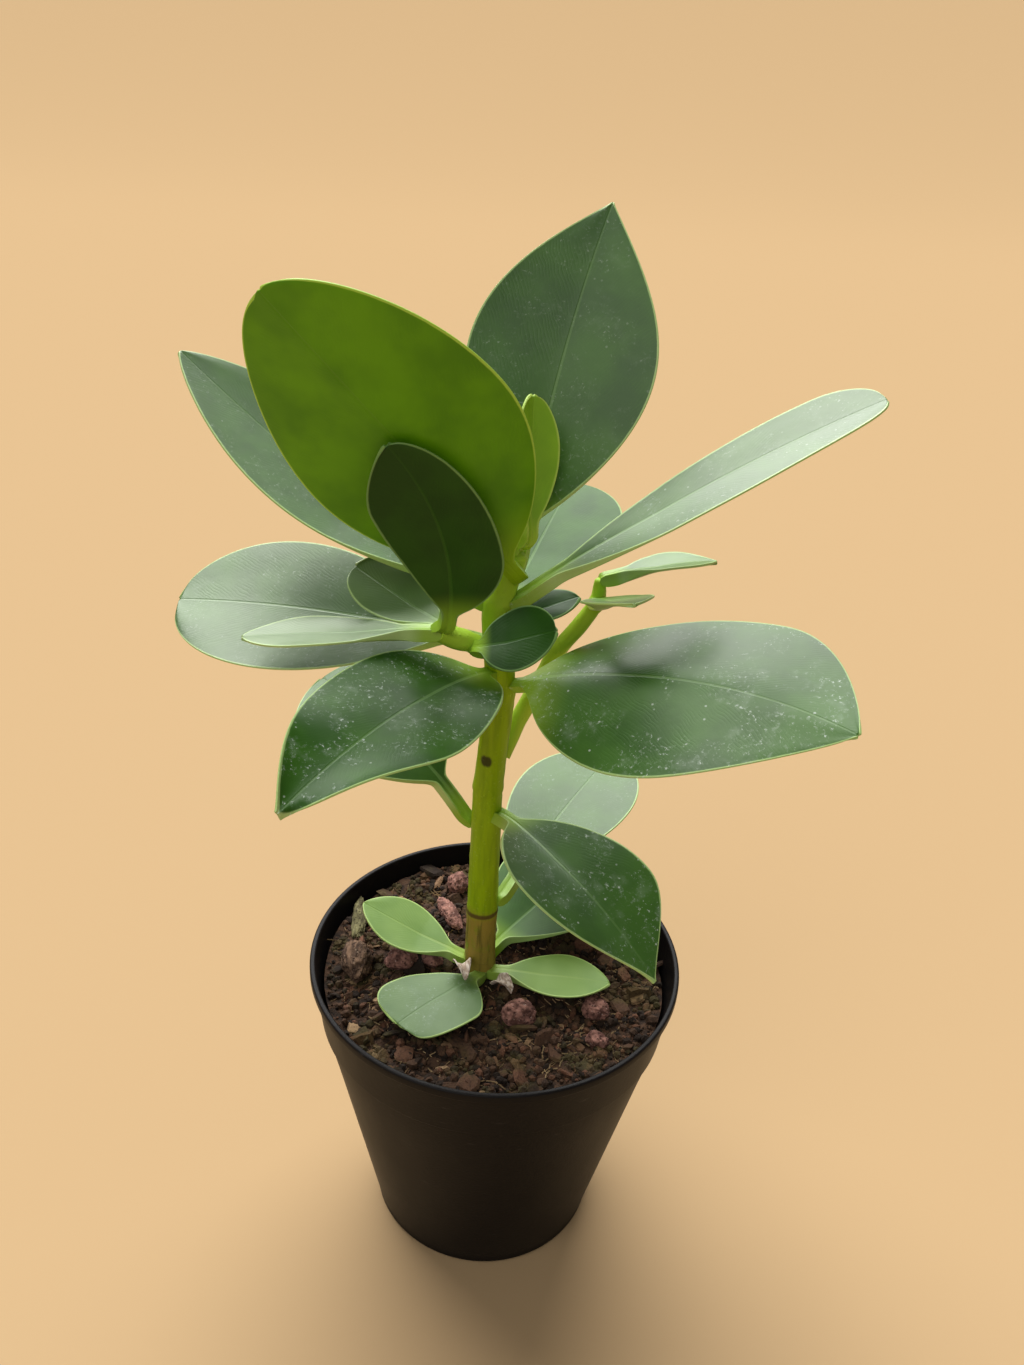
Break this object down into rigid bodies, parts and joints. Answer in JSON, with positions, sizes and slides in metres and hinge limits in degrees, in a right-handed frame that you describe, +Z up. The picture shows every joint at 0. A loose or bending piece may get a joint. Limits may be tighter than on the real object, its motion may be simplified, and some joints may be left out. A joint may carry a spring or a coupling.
{
  "type": "potted plant",
  "caption": "Young clusia (autograph tree) with thick paddle leaves on an upright green stem, growing in a tapered round black nursery pot of soil.",
  "frame": {"origin": "middle of the pot's underside, on the surface it stands on", "axes": "+Z up the stem, +X to the right and +Y to the back as the plant is seen from its front"},
  "size_m": [0.1646, 0.1254, 0.2888],
  "materials": {
    "pot_plastic": "matte-satin moulded black",
    "soil": "rough, damp peat mix",
    "stem_green": "smooth green bark, brown at the foot",
    "leaf_green": "thick leathery leaf, semi-gloss dark green",
    "leaf_young": "thick leathery leaf, yellow-green",
    "leaf_small": "thin young leaf, light green",
    "bark": "rough bark chip",
    "moss": "pale mossy stick",
    "lava_stone": "rough porous pinkish-brown stone",
    "dry_scale": "papery dried scale"
  },
  "bodies": {
    "root": {"nursery_pot": "pot_plastic", "potting_soil": "soil", "main_stem": "stem_green", "left_shoot": "stem_green", "right_shoot": "stem_green", "crown_back_leaf": "leaf_green", "crown_front_leaf": "leaf_young", "bud_leaf_right": "leaf_young", "bud_leaf_left": "leaf_young", "upper_left_leaf": "leaf_green", "upper_right_leaf": "leaf_green", "mid_left_leaf": "leaf_green", "back_right_leaf": "leaf_green", "right_leaf": "leaf_green", "left_front_leaf": "leaf_green", "lower_left_leaf": "leaf_green", "lower_right_leaf": "leaf_green", "lower_back_leaf": "leaf_green", "low_back_leaf": "leaf_green", "small_left_leaf": "leaf_small", "small_right_leaf": "leaf_small", "small_front_leaf": "leaf_small", "axil_leaf": "leaf_green", "left_shoot_upright_leaf": "leaf_green", "left_shoot_long_leaf": "leaf_green", "left_shoot_back_leaf": "leaf_green", "left_shoot_round_leaf": "leaf_green", "right_shoot_tip_leaf": "leaf_green", "right_shoot_front_leaf": "leaf_green", "bark_chunk": "bark", "moss_stick": "moss", "red_stone_left": "lava_stone", "red_stone_middle": "lava_stone", "back_stone": "lava_stone", "long_stone": "lava_stone", "dark_stone": "lava_stone", "right_stone": "lava_stone", "front_stone": "lava_stone", "dry_bract_left": "dry_scale", "dry_bract_right": "dry_scale"}
  },
  "joints": []
}
